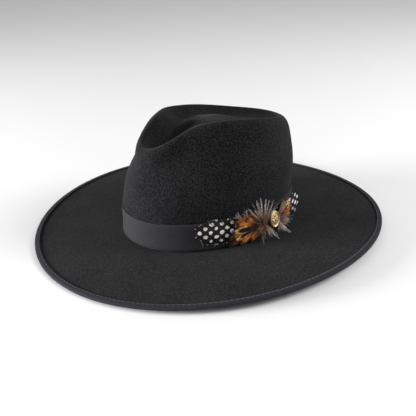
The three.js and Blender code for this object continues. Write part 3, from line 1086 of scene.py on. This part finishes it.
# Oval medal: a beaded rim round a plain rosette. Its relief is in mm, and places and widths in it
# are shares of the way from the middle to the edge.
medalSpec = {
    "halfWidth": 6.75 * mm,
    "halfHeight": 10 * mm,
    "centre": (3.4 * mm, 19 * mm),
    "lift": 8.9 * mm,
    "tilt": math.radians(17),
    "body": 0.7,
    "dome": 0.55,
    "rim": {"place": 0.9, "width": 0.055, "height": 0.85},
    "beadRow": {"place": 0.9, "width": 0.055, "height": 0.25},
    "innerRing": {"place": 0.72, "width": 0.03, "height": 0.35},
    "flower": {"place": 0.42, "width": 0.17, "height": 0.75},
    "boss": {"place": 0.0, "width": 0.16, "height": 0.9},
    "edgeWidth": 0.06,
    "highest": 2.2,
    "petals": 8,
    "beads": 36,
    "rings": 40,
    "turns": 180,
}


def ridge(share, shape):
    return np.exp(-((share - shape["place"]) / shape["width"]) ** 2) * shape["height"]


def medalHeight(spec, share, angle):
    rim = ridge(share, spec["rim"]) + ridge(share, spec["beadRow"]) * np.cos(spec["beads"] * angle)
    petal = np.clip(np.cos(spec["petals"] * angle) * 0.5 + 0.5, 0, 1) ** 0.7
    flower = petal * ridge(share, spec["flower"]) + ridge(share, spec["boss"])
    body = spec["body"] + spec["dome"] * (1 - share ** 2)
    edge = np.clip((1 - share) / spec["edgeWidth"], 0, 1) ** 0.5
    return (body + rim + ridge(share, spec["innerRing"]) + flower) * edge


def medalPiece(spec):
    angle = np.linspace(0, 2 * math.pi, spec["turns"], endpoint=False)
    shares = np.linspace(0, 1, spec["rings"] + 1)[1:]
    turn = layout["angle"] + spec["centre"][0] / layout["lengthPerRadian"]
    outward = np.array([math.sin(turn), -math.cos(turn), 0])
    level = np.array([math.cos(turn), math.sin(turn), 0])
    upright = np.array([0, 0, 1.0])
    along = level * math.cos(spec["tilt"]) + upright * math.sin(spec["tilt"])
    upward = upright * math.cos(spec["tilt"]) - level * math.sin(spec["tilt"])
    centre = onBand(spec["centre"][0], spec["centre"][1], spec["lift"])
    rows = []
    heights = []
    for share in shares:
        height = medalHeight(spec, share, angle)
        heights.append(height)
        flat = np.outer(np.cos(angle) * share * spec["halfWidth"], along)
        flat += np.outer(np.sin(angle) * share * spec["halfHeight"], upward)
        rows.append(centre + flat + np.outer(height * mm, outward))
    middle = float(medalHeight(spec, 0.0, 0.0))
    vertices = [centre + outward * middle * mm, *np.concatenate(rows), centre]
    count = spec["turns"]
    faces = []
    for j in range(count):
        following = (j + 1) % count
        faces.append((0, 1 + j, 1 + following))
        for i in range(len(rows) - 1):
            a = 1 + i * count
            b = a + count
            faces.append((a + j, b + j, b + following, a + following))
        last = 1 + (len(rows) - 1) * count
        faces.append((len(vertices) - 1, last + following, last + j))
    mesh = bpy.data.meshes.new("ovalMedal")
    mesh.from_pydata([list(v) for v in vertices], [], faces)
    piece = addObject("ovalMedal", mesh)
    work = bmesh.new()
    work.from_mesh(mesh)
    bmesh.ops.recalc_face_normals(work, faces=work.faces)
    work.to_mesh(mesh)
    work.free()
    relief = np.concatenate([[middle], *heights, [0.0]]) / spec["highest"]
    addVectors(piece, "relief", np.stack([relief * 0, relief, relief * 0], axis=1))
    return settle(piece, "gilt_metal", replaced="oval_badge")


medalPiece(medalSpec)
print("medal made")


# Pale floor, a soft low light from the front left and a weaker high one from behind on the right.
studio = {
    "floorSize": 6.0,
    "floorColour": (0.97, 0.97, 0.97),
    "floorRoughness": 0.9,
    "worldStrength": 0.43,
    "key": {"place": (-1.00, -1.46, 0.15), "size": 0.8, "power": 84.0},
    "fill": {"place": (1.15, 1.0, 1.0), "size": 0.8, "power": 22.0},
}


def makeFloor(setup):
    half = setup["floorSize"] / 2
    corners = [(-half, -half, 0), (half, -half, 0), (half, half, 0), (-half, half, 0)]
    mesh = bpy.data.meshes.new("floor")
    mesh.from_pydata(corners, [], [(0, 1, 2, 3)])
    floor = addObject("floor", mesh)
    finish = Finish("paleFloor", {"Roughness": setup["floorRoughness"]})
    finish.feed("Base Color", setup["floorColour"])
    mesh.materials.append(finish.material)


def makeLight(name, setup):
    data = bpy.data.lights.new(name, "AREA")
    data.size = setup["size"]
    data.energy = setup["power"]
    light = bpy.data.objects.new(name, data)
    # A light shines along its own -Z, so its Z axis points away from the hat.
    place = Vector(setup["place"])
    turned = place.to_track_quat("Z", "Y").to_matrix().to_4x4()
    light.matrix_world = Matrix.Translation(place) @ turned
    scene.collection.objects.link(light)


def makeWorld(strength):
    world = bpy.data.worlds.new("studio")
    world.use_nodes = True
    background = world.node_tree.nodes["Background"]
    background.inputs["Color"].default_value = (1, 1, 1, 1)
    background.inputs["Strength"].default_value = strength
    scene.world = world


makeFloor(studio)
makeLight("keyLight", studio["key"])
makeLight("fillLight", studio["fill"])
makeWorld(studio["worldStrength"])
scene.view_settings.view_transform = "Standard"
print("studio set")
